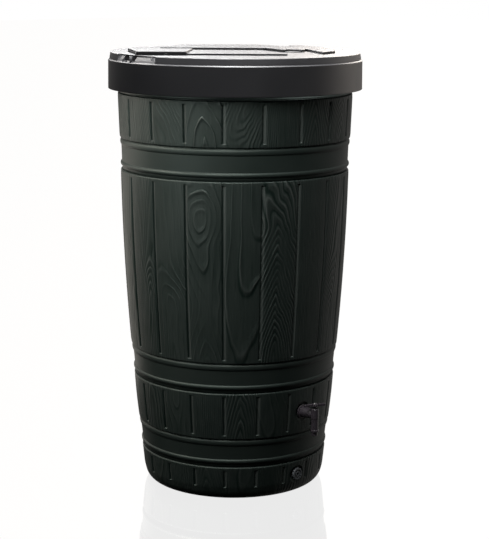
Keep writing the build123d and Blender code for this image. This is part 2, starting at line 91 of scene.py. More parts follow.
def sheet(name, points, loop=False, capStart=None, capEnd=None, keep=None, cornerValues=None):
    # points[i, j]: j runs once round the piece and closes on itself, i runs along its profile;
    # loop joins the last row to the first, a cap closes an end row with a fan to one point,
    # keep says which quads are made, cornerValues gives numbers for their four corners
    rows, columns = points.shape[:2]
    index = np.arange(rows * columns).reshape(rows, columns)
    lower = index if loop else index[:-1]
    upper = np.roll(index, -1, 0) if loop else index[1:]
    quads = np.stack([lower, np.roll(lower, -1, 1), np.roll(upper, -1, 1), upper], -1)
    chosen = np.ones(quads.shape[:2], bool) if keep is None else keep
    values = {key: field[chosen].ravel() for key, field in (cornerValues or {}).items()}
    vertices = points.reshape(-1, 3)
    triangles = []
    for cap, row, turned in ((capStart, index[0], True), (capEnd, index[-1], False)):
        if cap is None:
            continue
        centre = np.full(columns, len(vertices))
        ahead = np.roll(row, -1)
        fan = [ahead, row, centre] if turned else [row, ahead, centre]
        triangles += np.stack(fan, -1).tolist()
        vertices = np.vstack([vertices, cap])
    return buildMesh(name, vertices, quads[chosen], triangles, values)


def revolve(profile, angles):
    # x = r*sin(a), y = -r*cos(a), z = z for each profile point (r, z) and each angle a
    r, z = profile[:, :1], profile[:, 1:2]
    return np.stack([r * np.sin(angles), -r * np.cos(angles), z + 0 * angles], -1)


def roundedPath(corners, closed=False, steps=4, support=0.8):
    # each corner (r, z, setBack) becomes the curve (1-t)^2*A + 2*t*(1-t)*corner + t^2*B between
    # the points A and B at the set-back on its two runs, with a support point beyond each of them
    # that keeps the flats flat
    corners = np.array(corners, float)
    spots, setBacks = corners[:, :2], corners[:, 2]
    shortest, share = 0.3, 0.4
    path = []
    for k, (spot, setBack) in enumerate(zip(spots, setBacks)):
        if setBack == 0 or (not closed and k in (0, len(spots) - 1)):
            path.append(spot)
            continue
        ends, beyond = [], []
        for other in (k - 1, (k + 1) % len(spots)):
            run = spots[other] - spot
            length = np.hypot(*run)
            free = length - setBack - setBacks[other]
            ends.append(spot + run / length * setBack)
            further = setBack + min(support, free * share)
            beyond.append([spot + run / length * further] if free > shortest else [])
        path += [*beyond[0], *softCorner(ends[0], spot, ends[1], steps), *beyond[1]]
    return np.array(path)


def softCorner(start, corner, end, steps):
    # (1-t)^2*start + 2*t*(1-t)*corner + t^2*end
    t = np.linspace(0, 1, steps + 1)[:, None]
    return (1 - t) ** 2 * np.array(start) + 2 * t * (1 - t) * np.array(corner) + t ** 2 * np.array(end)


def addPiece(mesh, material, body, nodes):
    piece = bpy.data.objects.new(mesh.name, mesh)
    bpy.context.scene.collection.objects.link(piece)
    mesh.materials.append(material)
    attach(piece, body)
    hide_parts(*nodes)
    return piece


# shader maths as Python expressions
class Signal:
    def __init__(self, tree, socket):
        self.tree = tree
        self.socket = socket

    def maths(self, operation, other=None, turned=False):
        node = self.tree.nodes.new("ShaderNodeMath")
        node.operation = operation
        operands = [self] if other is None else [other, self] if turned else [self, other]
        for slot, operand in enumerate(operands):
            if isinstance(operand, Signal):
                self.tree.links.new(operand.socket, node.inputs[slot])
            else:
                node.inputs[slot].default_value = operand
        return Signal(self.tree, node.outputs[0])

    __add__ = partialmethod(maths, "ADD")
    __radd__ = partialmethod(maths, "ADD", turned=True)
    __sub__ = partialmethod(maths, "SUBTRACT")
    __rsub__ = partialmethod(maths, "SUBTRACT", turned=True)
    __mul__ = partialmethod(maths, "MULTIPLY")
    __rmul__ = partialmethod(maths, "MULTIPLY", turned=True)
    __truediv__ = partialmethod(maths, "DIVIDE")
    __rtruediv__ = partialmethod(maths, "DIVIDE", turned=True)
    fraction = partialmethod(maths, "FRACT")
    whole = partialmethod(maths, "FLOOR")
    least = partialmethod(maths, "MINIMUM")
    most = partialmethod(maths, "MAXIMUM")


class Finish:
    # a material or world whose nodes are added by kind, settings and socket values
    def __init__(self, owner):
        owner.use_nodes = True
        self.owner = owner
        self.tree = owner.node_tree
        self.tree.nodes.clear()

    def node(self, kind, settings=None, sockets=None, output=0):
        node = self.tree.nodes.new(kind)
        for key, value in (settings or {}).items():
            setattr(node, key, value)
        for key, value in (sockets or {}).items():
            if isinstance(value, Signal):
                self.tree.links.new(value.socket, node.inputs[key])
            else:
                node.inputs[key].default_value = value
        return Signal(self.tree, node.outputs[output] if node.outputs else None)

    def place(self):
        return self.node("ShaderNodeTexCoord", output=3)

    def attribute(self, name):
        return self.node("ShaderNodeAttribute", {"attribute_name": name}, output=2)

    def stretched(self, scale):
        return self.node("ShaderNodeMapping", {}, {"Vector": self.place(), "Scale": scale})

    def noise(self, vector, scale, detail=2.0, roughness=0.5):
        return self.node("ShaderNodeTexNoise", {}, {
            "Vector": vector, "Scale": scale, "Detail": detail, "Roughness": roughness})

    def tint(self, factor, first, second):
        return self.node("ShaderNodeMix", {"data_type": "RGBA"}, {
            0: factor, 6: (*first, 1), 7: (*second, 1)}, output=2)

    def bump(self, height):
        return self.node("ShaderNodeBump", {}, {"Height": height, "Distance": 1.0, "Strength": 1.0})

    def plastic(self, sockets):
        shader = self.node("ShaderNodeBsdfPrincipled", {}, sockets)
        self.node("ShaderNodeOutputMaterial", {}, {"Surface": shader})
        return self.owner


print("tools ready")

# finishes: colours are linear, depths of the textures are metres, lineWidth is millimetres

barrelFinish = {
    # second colour: the paler end of the tint, for the random cloud and fibre tone and for the painted
    # highlights on grain crests and joint walls
    "colour": (0.0022, 0.0062, 0.0051), "paleTone": (0.0370, 0.0440, 0.0420), "sheen": (0.82, 1.0, 0.93),
    "roughness": 0.47, "unevenRoughness": 0.10, "specular": 0.38, "cloudScale": 7.0,
    "speckScale": 900.0, "speckDepth": 0.00003,
    "lineWidth": 7.6, "steepShare": 0.34, "slowShare": 0.66, "grainDepth": 0.0013,
    "fadeFrom": 0.28, "fadeGain": 2.6, "faintest": 0.15, "boldness": (0.4, 1.2),
    # next line: start and strength of the painted highlight on the grain ridge crests, and width of the
    # painted shade at their feet
    "crestFrom": 0.7, "crestGain": 3.3, "hollowShare": 0.2,
    "fibreScale": (230, 230, 9), "fibreDepth": 0.0004, "fadeScale": (22, 22, 7),
}
# the last three weigh painted light: a painted highlight on the grain crests, painted shade at their feet,
# and painted highlight and shade on the joint walls
barrelShade = {
    "cloud": 0.3, "base": 0.1, "fibre": 0.45, "grained": 0.2, "crest": 0.6, "hollow": 0.6, "paintedJointLight": 0.75,
}


def makeBarrelPlastic(name, grained):
    # grain height: a ridge at the edge of each growth ring, slow up over two thirds of its width and steep
    # down over the rest, some bold and some faint; its crest gets a painted highlight and its foot painted
    # shade, and the joint walls get a painted highlight and painted shade
    look, shades = barrelFinish, barrelShade
    finish = Finish(bpy.data.materials.new(name))
    cloud = finish.noise(finish.place(), look["cloudScale"], 3.0)
    speck = finish.noise(finish.place(), look["speckScale"], 1.0)
    height = speck * look["speckDepth"]
    shade = cloud * shades["cloud"] + shades["base"]
    if grained:
        fibre = finish.noise(finish.stretched(look["fibreScale"]), 1.0, 3.0, 0.6)
        count = finish.attribute("ring")
        pitch = finish.attribute("pitch")
        width = pitch.least(look["lineWidth"])
        gap = (1 - count.fraction()) * pitch
        steep, slow = gap / (width * look["steepShare"]), (width - gap) / (width * look["slowShare"])
        saw = steep.least(slow).most(0.0)
        fade = finish.noise(finish.stretched(look["fadeScale"]), 1.0, 2.0)
        fade = ((fade - look["fadeFrom"]) * look["fadeGain"]).most(look["faintest"]).least(1.0)
        chance = finish.node("ShaderNodeTexWhiteNoise", {"noise_dimensions": "1D"}, {"W": count.whole()})
        low, high = look["boldness"]
        strength = finish.attribute("relief") * fade * (chance * (high - low) + low)
        # painted highlight along the crest of each ridge and painted shade at its foot
        crest = (saw - look["crestFrom"]).most(0.0) * look["crestGain"] * strength
        hollow = (1 - gap.least(pitch - gap) / (width * look["hollowShare"])).most(0.0) * strength
        height = height + saw * saw * (3 - 2 * saw) * strength * look["grainDepth"]
        height = height + fibre * look["fibreDepth"]
        shade = shade + fibre * shades["fibre"] - shades["grained"] + crest * shades["crest"]
        # painted highlight on the wide wall of each joint and painted shade on its steep wall
        shade = shade - hollow * shades["hollow"] + finish.attribute("paintedJointLight") * shades["paintedJointLight"]
    uneven = look["unevenRoughness"]
    return finish.plastic({
        "Base Color": finish.tint(shade, look["colour"], look["paleTone"]),
        "Roughness": cloud * uneven + (look["roughness"] - uneven / 2),
        "Specular IOR Level": look["specular"],
        "Specular Tint": (*look["sheen"], 1),
        "Normal": finish.bump(height),
    })


# each of these finishes takes what it doesn't name from commonFinish
commonFinish = {
    "wear": 1.0, "metallic": 0.0, "unevenRoughness": 0.12, "cloudScale": 60.0, "cloudDetail": 3.0,
    "cloudDepth": 0.0, "gritScale": 900.0, "gritDepth": 0.00003,
}
plainFinishes = {
    "lid plastic": {
        "colour": (0.0145, 0.0145, 0.0162), "paleTone": (0.022, 0.022, 0.0238), "wear": 0.8, "roughness": 0.50,
        "specular": 0.40, "cloudScale": 9.0, "cloudDetail": 4.0, "cloudDepth": 0.0004,
        "gritScale": 1100.0, "gritDepth": 0.00005},
    "tap plastic": {
        "colour": (0.024, 0.021, 0.026), "paleTone": (0.038, 0.0335, 0.041), "roughness": 0.28,
        "specular": 0.6},
    "plug plastic": {
        "colour": (0.050, 0.056, 0.062), "paleTone": (0.077, 0.086, 0.095), "roughness": 0.38,
        "specular": 0.5},
    "seal rubber": {
        "colour": (0.012, 0.012, 0.012), "paleTone": (0.02, 0.02, 0.02), "roughness": 0.75, "specular": 0.3},
    "screw steel": {
        "colour": (0.42, 0.42, 0.43), "paleTone": (0.632, 0.632, 0.647), "roughness": 0.35,
        "specular": 0.5, "metallic": 1.0},
}


def makePlainFinish(name, values):
    # colour and roughness vary a little with a cloud, over a fine moulded grit
    look = {**commonFinish, **values}
    finish = Finish(bpy.data.materials.new(name))
    cloud = finish.noise(finish.place(), look["cloudScale"], look["cloudDetail"])
    grit = finish.noise(finish.place(), look["gritScale"], 2.0)
    uneven = look["unevenRoughness"]
    return finish.plastic({
        "Base Color": finish.tint(cloud * look["wear"], look["colour"], look["paleTone"]),
        "Roughness": cloud * uneven + (look["roughness"] - uneven / 2),
        "Metallic": look["metallic"],
        "Specular IOR Level": look["specular"],
        "Normal": finish.bump(grit * look["gritDepth"] + cloud * look["cloudDepth"]),
    })


grainedPlastic = makeBarrelPlastic("barrel staves", True)
smoothPlastic = makeBarrelPlastic("barrel hoops", False)
plainMaterials = {name: makePlainFinish(name, values) for name, values in plainFinishes.items()}
print("finishes ready")

# barrel

staves = {
    "count": 19, "firstJoint": 8.5, "crown": 0.8, "edgeHeight": 4.0, "wall": 4.5,
    "jointBefore": 3.4, "jointAfter": 7.6, "jointDepth": 3.8, "jointSoftness": 0.14,
    "endMargin": 7.0, "endFade": (1.4, 1.2), "footFade": (14, 2),
    # the last three: place and width of the painted highlight on the wide wall of each joint, and width of
    # the painted shade on its steep wall
    "highlightPlace": 4.6, "highlightWidth": 2.4, "shadeWidth": 2.2,
}
# bands of staves from the foot up: radii at the foot, middle and top, spacing of the grid's lines
bands = [
    {"low": 30.0, "high": 91.0, "radii": (252.5, 255.8, 258.9), "rows": 8.0, "columns": 8.0},
    {"low": 180.0, "high": 301.8, "radii": (269.0, 275.8, 280.4), "rows": 5.0, "columns": 6.0},
    {"low": 393.0, "high": 874.0, "radii": (288.9, 305.5, 313.7), "rows": 5.6, "columns": 3.4},
    {"low": 969.0, "high": 1083.0, "radii": (316.7, 318.9, 320.9), "rows": 4.0, "columns": 3.2},
]
hoops = {
    "grooveDepth": 5.0, "grooveHeight": 10.0, "beadHeight": 12.0, "bandInset": 3.8, "flat": 1.5,
    "largeBeadHeight": 15.0, "largeBeadInset": 1.0, "gapDepth": 4.0, "gapHeight": 8.0, "innerDepth": 8.5,
    "tuckUnder": 0.3, "tuckIn": 2.2,
}
foot = {"ringOuter": 225.0, "ringWidth": 20.0, "recess": 8.0, "curve": 42.0, "inset": 27.5, "innerRing": 30}
seats = {
    "tap": {"height": 238.0, "radius": 25.0, "distance": 271.758, "hole": 13.6, "reach": 33.0},
    "drain": {"height": 57.0, "radius": 24.0, "distance": 251.633, "hole": 16.0, "reach": 30.0},
}
mouth = {
    "grooveRadius": 314.9, "grooveBottom": 1087.0, "collarBottom": 1091.0, "collarEdge": 2.0,
    "collarRadius": 324.5, "collarThickness": 9, "rimTop": 1168.0, "rimRadius": 338.5,
    "lipHeight": 18.0, "rimWall": 5.0, "innerLow": 310.4,
}
# places of the grid's lines: distances from a joint at the named radius, and from the ends of a band
gridLines = {
    "radius": 300, "closest": 0.25, "closestRows": 0.3,
    "afterJoint": (0, 0.8, 2.2, 4.2, 6.2, 7.8, 9.0, 10.4, 12.5),
    "beforeJoint": (5.6, 4.3, 3.5, 2.8, 1.7, 0.7),
    "fromEnd": (0, 1.8, 3.6, 4.9, 5.6, 6.3, 7.0, 7.6, 8.2, 9.0, 11.0, 14.0),
}
fullTurn = np.linspace(0, 2 * pi, 289)[:-1]
staveStep = 2 * pi / staves["count"]
firstJoint = radians(staves["firstJoint"])


def staveRadius(band, z):
    # chord between the end radii plus 4*rise*t*(1 - t)
    low, middle, high = band["radii"]
    t = (z - band["low"]) / (band["high"] - band["low"])
    return low + (high - low) * t + 4 * (middle - (low + high) / 2) * t * (1 - t)


def footInset(z):
    # quarter of an ellipse from the floor up: inset * (1 - sqrt(1 - t*t)) with t = 1 - z/curve
    t = np.clip(1 - z / foot["curve"], 0, 1)
    return foot["inset"] * (1 - np.sqrt(1 - t * t))


def footRadius(z):
    # radius of the lowest band, rounded in towards the standing ring
    return staveRadius(bands[0], np.maximum(z, bands[0]["low"])) - footInset(z)


def hoopRadius(below, above, z):
    # straight line from the top of one band to the foot of the next
    start, end = below["radii"][2], above["radii"][0]
    return start + (end - start) * (z - below["high"]) / (above["low"] - below["high"])


def staveAngles(number, seat=None):
    # columns close together at each joint and about evenly spaced over the face of each stave
    radius = gridLines["radius"]
    after = np.array(gridLines["afterJoint"]) / radius
    before = np.array(gridLines["beforeJoint"]) / radius
    count = int((staveStep - after[-1] - before[0]) * radius / bands[number]["columns"]) + 1
    face = np.linspace(after[-1], staveStep - before[0], count)[1:-1]
    one = np.concatenate([after, face, staveStep - before])
    angles = firstJoint + (one + np.arange(staves["count"])[:, None] * staveStep).ravel() - 2 * pi
    angles = (angles + pi) % (2 * pi) - pi
    if seat is not None:
        angles = np.append(angles, seatLines(seat) / seat["distance"])
    return thinOut(np.sort(angles), gridLines["closest"] / radius)


def seatLines(seat):
    # grid lines of the square patch round a seat, close together at the edge of the seat;
    # its rings map to the circles of hole and seat
    r, hole, reach = seat["radius"], seat["hole"], seat["reach"]
    inHole = [0, 3, 6, 9, 11.5, hole]
    atEdge = [r - 2.2, r - 0.9, r, r + 0.35, r + 1.2]
    half = np.array([*inHole, (hole + r) / 2, *atEdge, (r + reach) / 2, reach])
    return np.concatenate([-half[:0:-1], half])


def thinOut(values, gap):
    # drops a value that follows the one before it too closely
    return values[np.append(True, np.diff(values) > gap)]


def jointDepth(angles, radii, z, band):
    # steep wall before each joint and a wide one after it: depth * (t + sqrt(t*t + s*s))/2
    # with t = 1 - distance/width of the wall
    offset = ((angles - firstJoint + staveStep / 2) % staveStep - staveStep / 2) * radii
    t = 1 - np.where(offset < 0, -offset / staves["jointBefore"], offset / staves["jointAfter"])
    depth = staves["jointDepth"] / 2 * (t + np.sqrt(t * t + staves["jointSoftness"] ** 2))
    return depth * jointEnds(z, band)


def jointEnds(z, band):
    # one between the ends of the joints, nought beyond them
    low, high, margin, (before, after) = band["low"], band["high"], staves["endMargin"], staves["endFade"]
    lower = smoothStep(z, low + margin - before, low + margin + after)
    return lower * smoothStep(-z, margin - before - high, margin + after - high)


def paintJointLight(fromJoint, toJoint, z, band):
    # painted highlight on the wide wall and painted shade on the steep wall: exp(-((d - place)/width)^2) -
    # exp(-(e/width)^2)
    paintedHighlight = np.exp(-((fromJoint - staves["highlightPlace"]) / staves["highlightWidth"]) ** 2)
    paintedShade = np.exp(-(toJoint / staves["shadeWidth"]) ** 2)
    return (paintedHighlight - paintedShade) * jointEnds(z, band)


def staveCrown(angles):
    # each stave's face falls towards its joints by crown*u*u
    u = ((angles - firstJoint) % staveStep) / staveStep * 2 - 1
    return staves["crown"] * u * u


# growth rings of single staves, by band and stave, with pitch and places in millimetres; each row is
# height, sideways place of the heart, its depth, pointedness and, where it varies, boldness
grainPlans = {
    (2, 12): {"pitch": 5.6, "relief": 0.6, "rows": [
        (393, 30, 4, 2), (650, 34, 20, 2), (700, 46, 34, 2), (874, 60, 36, 2)]},
    (2, 13): {"pitch": 5.4, "relief": 0.85, "rows": [
        (393, 18, 2, 2), (470, 22, 3, 2), (560, 28, 8, 2), (600, 30, 16, 2), (653, 31, 32, 2),
        (700, 38, 33, 2), (874, 60, 34, 2)]},
    (2, 14): {"pitch": 15.0, "relief": 1.0, "phase": 0.7, "rows": [
        (393, 4, 2, 2, 0.7), (520, 3, 4, 2, 0.8), (565, 0, 14, 2, 1), (600, -14, 34, 2, 1),
        (636, -26, 49, 2.2, 1), (650, -29, 50, 2, 0.7), (690, -34, 50, 2, 0.3), (874, -52, 51, 2, 0.25)]},
    (2, 15): {"pitch": 13.0, "relief": 1.0, "phase": 0.3, "rows": [
        (393, 5, 30, 1.4, 1), (468, 3, 48, 1.4, 0.9), (510, 8, 58, 1.4, 0.5), (551, 14, 61, 1.5, 0.5),
        (627, 0, 48, 1.5, 0.8), (702, -13, 35, 1.5, 1), (734, -12, 22, 1.6, 1), (773, -10, 8, 2, 0.9),
        (812, -11, 22, 2.4, 1), (832, -12, 35, 2.2, 1.2), (857, -9, 48, 2.8, 1.3), (874, -9, 55, 2.8, 1)]},
    (2, 16): {"pitch": 25.0, "relief": 1.4, "phase": 0.8, "rows": [
        (393, 0, 80, 2), (480, 4, 68, 2), (570, 10, 55, 2), (650, 24, 42, 2), (728, 41, 30, 2),
        (800, 48, 10, 2), (874, 50, 4, 2)]},
    (2, 17): {"pitch": 7.6, "relief": 1.35, "rows": [
        (393, -8, 2, 1.2), (435, -8, 8, 1.15), (600, -8, 66, 1.15), (760, -6, 120, 1.2),
        (820, -30, 132, 1.6), (874, -60, 136, 2)]},
    (2, 18): {"pitch": 4.8, "relief": 0.5, "rows": [(393, -70, 6, 2), (874, -80, 10, 2)]},
    (2, 0): {"pitch": 5.4, "relief": 0.9, "rows": [
        (393, -4, 2, 2), (520, -6, 6, 1.9), (600, -4, 30, 1.8), (660, 10, 44, 2), (874, 30, 50, 2)]},
    (3, 13): {"pitch": 6.4, "relief": 0.8, "rows": [(969, -40, 8, 2), (1083, -58, 10, 2)]},
    (3, 14): {"pitch": 11.0, "relief": 0.7, "rows": [
        (969, -10, 30, 2), (1030, -34, 32, 2), (1083, -70, 34, 2)]},
    (3, 15): {"pitch": 24.0, "relief": 1.8, "phase": 0.6, "rows": [
        (969, 6, 2, 1.4), (1003, 4, 10, 1.4), (1052, -2, 35, 1.4), (1083, -8, 52, 1.6)]},
    (3, 16): {"pitch": 8.4, "relief": 0.6, "rows": [
        (969, -22, 40, 2), (1010, -14, 22, 2), (1050, 4, 12, 2), (1083, 20, 10, 2)]},
    (3, 0): {"pitch": 6.0, "relief": 0.8, "rows": [(969, 2, 2, 2), (1040, 4, 22, 1.8), (1083, 6, 40, 2)]},
}
# the other staves take these kinds in turn; their heights are shares of the kind's reach
grainKinds = [
    {"pitch": 10.0, "relief": 0.95, "shape": [
        (-0.1, 4, 0, 2), (0.35, 0, 14, 2), (0.6, -4, 40, 1.9), (1.1, -8, 50, 2)]},
    {"pitch": 12.5, "relief": 1.0, "shape": [
        (-0.1, 6, 34, 1.5), (0.3, 2, 46, 1.5), (0.6, 0, 0, 1.8), (0.8, 0, 30, 2), (1.1, 4, 54, 2)]},
    {"pitch": 5.4, "relief": 0.65, "shape": [(-0.1, -62, 6, 2), (0.5, -56, 8, 2), (1.1, -70, 6, 2)]},
    {"pitch": 7.4, "relief": 1.0, "shape": [(-0.1, -6, 0, 1.2), (0.5, -4, 62, 1.2), (1.1, -8, 120, 1.3)]},
    {"pitch": 18.0, "relief": 0.95, "shape": [
        (-0.1, 6, 80, 2), (0.4, 14, 52, 2), (0.7, 40, 28, 2), (1.1, 50, 4, 2)]},
    {"pitch": 4.9, "relief": 0.55, "shape": [(-0.1, 70, 6, 2), (1.1, 62, 10, 2)]},
]
grain = {
    "height": 0.8, "sideShifts": (-2.4, -1.2, 0, 1.2, 2.4), "upShifts": (-16, -8, 0, 8, 16),
    "bend": 2.2, "bendLengths": (60, 190), "waver": 0.9, "waverLengths": (26, 70), "waverSines": 6,
    "asideShare": 0.6, "ringShare": 0.5, "ringsApart": 20, "kindReach": 480, "leastReach": 260,
    "tall": 300, "central": 20, "clearAfter": (8, 13), "clearBefore": (4, 8), "clearEnd": 8,
}


def ripple(x, z, seed, wavelength, count=5):
    # sum of sines of chance direction, pace and phase, mostly between -1 and 1
    chance = np.random.default_rng(seed)
    turn, phase = chance.uniform(0, 2 * pi, (2, count))
    pace = chance.uniform(0.6, 1.5, count)
    return sum(
        np.sin(2 * pi * p * (x * cos(a) / wavelength[0] + z * sin(a) / wavelength[1]) + f)
        for a, f, p in zip(turn, phase, pace)) / sqrt(count)


def kindPlan(number, stave):
    # one of the kinds, set at a chance height, side and place on the stave
    band = bands[number]
    chance = np.random.default_rng(100 * number + stave)
    kind = grainKinds[(stave * 7 + number * 5) % len(grainKinds)]
    height = band["high"] - band["low"]
    reach = height if height > grain["tall"] else grain["leastReach"]
    base = band["low"] - chance.uniform(0, 0.5) * (reach - height)
    side = chance.choice([-1, 1])
    rows = [(
        base + share * reach, aside * side + chance.uniform(-4, 4),
        depth * reach / grain["kindReach"] if abs(aside) < grain["central"] else depth, power,
    ) for share, aside, depth, power in kind["shape"]]
    return {**kind, "rows": rows}


def ringField(number, stave, x, z):
    # rings = (|x - heart|^p + |depth|^p)^(1/p) / pitch, bent by ripples; heart, depth and p come from
    # the plan's rows, averaged over a few heights
    plan = grainPlans.get((number, stave)) or kindPlan(number, stave)
    rows = np.array(plan["rows"], float)

    def along(column):
        return np.mean([np.interp(z + s, rows[:, 0], rows[:, column]) for s in grain["upShifts"]], 0)

    heart, depth, power = along(1), along(2), along(3)
    seed = 37 * number + stave
    waver = ripple(x, z, seed + 500, grain["waverLengths"], grain["waverSines"])
    bend = grain["bend"] * ripple(x, z, seed, grain["bendLengths"]) + grain["waver"] * waver
    aside = np.abs(x - heart + bend * grain["asideShare"]) + 0.01
    distance = (aside ** power + (np.abs(depth) + 0.5) ** power) ** (1 / power)
    rings = (distance + bend * grain["ringShare"]) / plan["pitch"] + plan.get("phase", 0)
    boldness = along(4) if rows.shape[1] > 4 else 1
    return rings + grain["ringsApart"] * stave, plan["relief"] * boldness, plan["pitch"]


def grainRidge(number, angles, radii, heights):
    # mean over a few places side by side of s*s*(3 - 2*s), s rising to each ring's edge and falling
    # past it, fading out before the joints and the ends of the band
    look, band = barrelFinish, bands[number]
    turned = (angles - firstJoint) % (2 * pi)
    owner = np.floor(turned / staveStep + 1e-6).astype(int) % staves["count"]
    fromJoint = (turned % staveStep) * radii[:, None]
    toJoint = staveStep * radii[:, None] - fromJoint
    z = heights[:, None] + 0 * angles
    ridge = np.zeros(z.shape)
    for stave in range(staves["count"]):
        mine = owner == stave
        across = fromJoint[:, mine] - staveStep / 2 * radii[:, None]
        for shift in grain["sideShifts"]:
            rings, boldness, pitch = ringField(number, stave, across + shift, z[:, mine])
            width = min(pitch, look["lineWidth"])
            gap = (1 - rings % 1) * pitch
            saw = np.minimum(gap / look["steepShare"], (width - gap) / look["slowShare"]) / width
            ridge[:, mine] += smoothStep(saw, 0, 1) * boldness / len(grain["sideShifts"])
    end = grain["clearEnd"]
    ridge *= smoothStep(fromJoint, *grain["clearAfter"]) * smoothStep(toJoint, *grain["clearBefore"])
    ridge *= smoothStep(z, band["low"], band["low"] + end)
    return ridge * smoothStep(-z, -band["high"], end - band["high"])


def staveFields(angles, radii, heights, number):
    # ring count, relief, pitch and painted joint light and shade at the four corners of each quad, worked
    # out within its own stave
    following = np.roll(angles, -1)
    middle = angles + ((following - angles) % (2 * pi)) / 2
    owner = np.floor(((middle - firstJoint) % (2 * pi)) / staveStep).astype(int) % staves["count"]
    centre = firstJoint + (owner + 0.5) * staveStep
    sides = [(column - centre + pi) % (2 * pi) - pi for column in (angles, following)]
    rings, reliefs = np.zeros((2, 2, len(heights), len(angles)))
    pitches = np.zeros(len(angles))
    for stave in range(staves["count"]):
        mine = owner == stave
        for side, ring, relief in zip(sides, rings, reliefs):
            ring[:, mine], relief[:, mine], pitches[mine] = ringField(
                number, stave, side[mine] * radii[:, None], heights[:, None] + 0 * side[mine])
    paintedJointLights = [paintJointLight((side + staveStep / 2) * radii[:, None], (staveStep / 2 - side) * radii[:, None],
                     heights[:, None], bands[number]) for side in sides]
    ring = atCorners(*rings)
    pitch = np.broadcast_to(pitches[None, :, None], ring.shape)
    return {"ring": ring, "relief": atCorners(*reliefs), "pitch": pitch, "paintedJointLight": atCorners(*paintedJointLights)}


def atCorners(left, right):
    # values of the two columns of each quad, for its four corners in order
    return np.stack([left[:-1], right[:-1], right[1:], left[1:]], -1)


def seatPatch(angles, z, radii, seat, radiusAt):
    # square rings of the grid become circles near the seat; onSeat marks the points of its flat face
    across, up = seat["distance"] * angles, z - seat["height"]
    ringSize = np.maximum(np.abs(across), np.abs(up))
    reach = np.hypot(across, up) + 1e-9
    rounding = 1 - smoothStep(ringSize, seat["radius"] + 1.3, seat["reach"])
    scale = 1 + (ringSize / reach - 1) * rounding
    across, up = across * scale, up * scale
    inPatch = ringSize < seat["reach"]
    newZ = np.where(inPatch, seat["height"] + up, z)
    newRadii = np.where(inPatch, radiusAt(newZ), radii)
    lateral = np.arcsin(np.clip(across / newRadii, -1, 1))
    newAngles = np.where(inPatch, lateral * rounding + across / seat["distance"] * (1 - rounding), angles)
    return newAngles, newZ, newRadii, ringSize <= seat["radius"] + 0.01


def staveSheet(name, number, profile, angles, radiusAt=None, seat=None, inner=None, capStart=None):
    # surface of one band: profile radius less the joints and the crown, with the flat face of its seat
    # or, where it has none, with the grain
    band = bands[number]
    radii = profile[:, :1] + 0 * angles
    z = profile[:, 1:2] + 0 * angles
    turned = angles + 0 * z
    keep = None
    if seat is not None:
        turned, z, radii, onSeat = seatPatch(turned, z, radii, seat, radiusAt)
        midHeights = profile[:-1, 1] + np.diff(profile[:, 1]) / 2 - seat["height"]
        midAngles = angles + np.diff(angles, append=angles[0] + 2 * pi) / 2
        keep = np.maximum(np.abs(midHeights)[:, None], np.abs(seat["distance"] * midAngles)) > seat["hole"]
    lowered = jointDepth(turned, radii, z, band) + staveCrown(turned)
    if number == 0:
        start, end = staves["footFade"]
        lowered = lowered * smoothStep(z, band["low"] - start, band["low"] - end)
    r = radii - lowered
    if seat is None:
        r = r + grain["height"] * grainRidge(number, angles, profile[:, 0], profile[:, 1])
    x, y = r * np.sin(turned), -r * np.cos(turned)
    if seat is not None:
        y = np.where(onSeat, -seat["distance"], y)
    points = np.stack([x, y, z], -1)
    fields = staveFields(angles, profile[:, 0], profile[:, 1], number)
    if inner is not None:
        points = np.concatenate([points, revolve(inner, angles)])
        ungrained = np.zeros((len(inner) + 1, *fields["ring"].shape[1:]))
        fields = {key: np.concatenate([field, ungrained]) for key, field in fields.items()}
    return sheet(name, points, inner is not None, capStart, None, keep, fields)


def bandHeights(band, seat=None):
    # rows close together at both ends of the joints, evenly spaced between
    near = np.array(gridLines["fromEnd"])
    low, high = band["low"], band["high"]
    count = int((high - low - 2 * near[-1]) / band["rows"]) + 2
    middle = np.linspace(low + near[-1], high - near[-1], count)[1:-1]
    rows = np.concatenate([low + near, middle, high - near[::-1]])
    if seat is not None:
        rows = np.append(rows, seat["height"] + seatLines(seat))
        rows = rows[(rows >= low) & (rows <= high)]
    return thinOut(np.sort(rows), gridLines["closestRows"])


def bandProfile(number, seat=None):
    # outline of one band with its rounded upper and lower edges, from below upwards
    band, steps = bands[number], 6
    z = bandHeights(band, seat)
    low, high = band["radii"][0], band["radii"][2]
    top, bottom = band["high"] + staves["edgeHeight"], band["low"] - staves["edgeHeight"]
    topRadius = high - hoops["grooveDepth"] - hoops["tuckUnder"]
    parts = [
        np.stack([staveRadius(band, z), z], -1),
        softCorner((high, band["high"]), (high, top), (topRadius, top), steps)[1:],
        [(topRadius - hoops["tuckIn"], top)],
    ]
    if number > 0:
        bottomRadius = low - hoops["gapDepth"] - hoops["tuckUnder"]
        edge = softCorner((bottomRadius, bottom), (low, bottom), (low, band["low"]), steps)
        parts = [[(bottomRadius - hoops["tuckIn"], bottom)], edge[:-1]] + parts
    return np.vstack(parts)


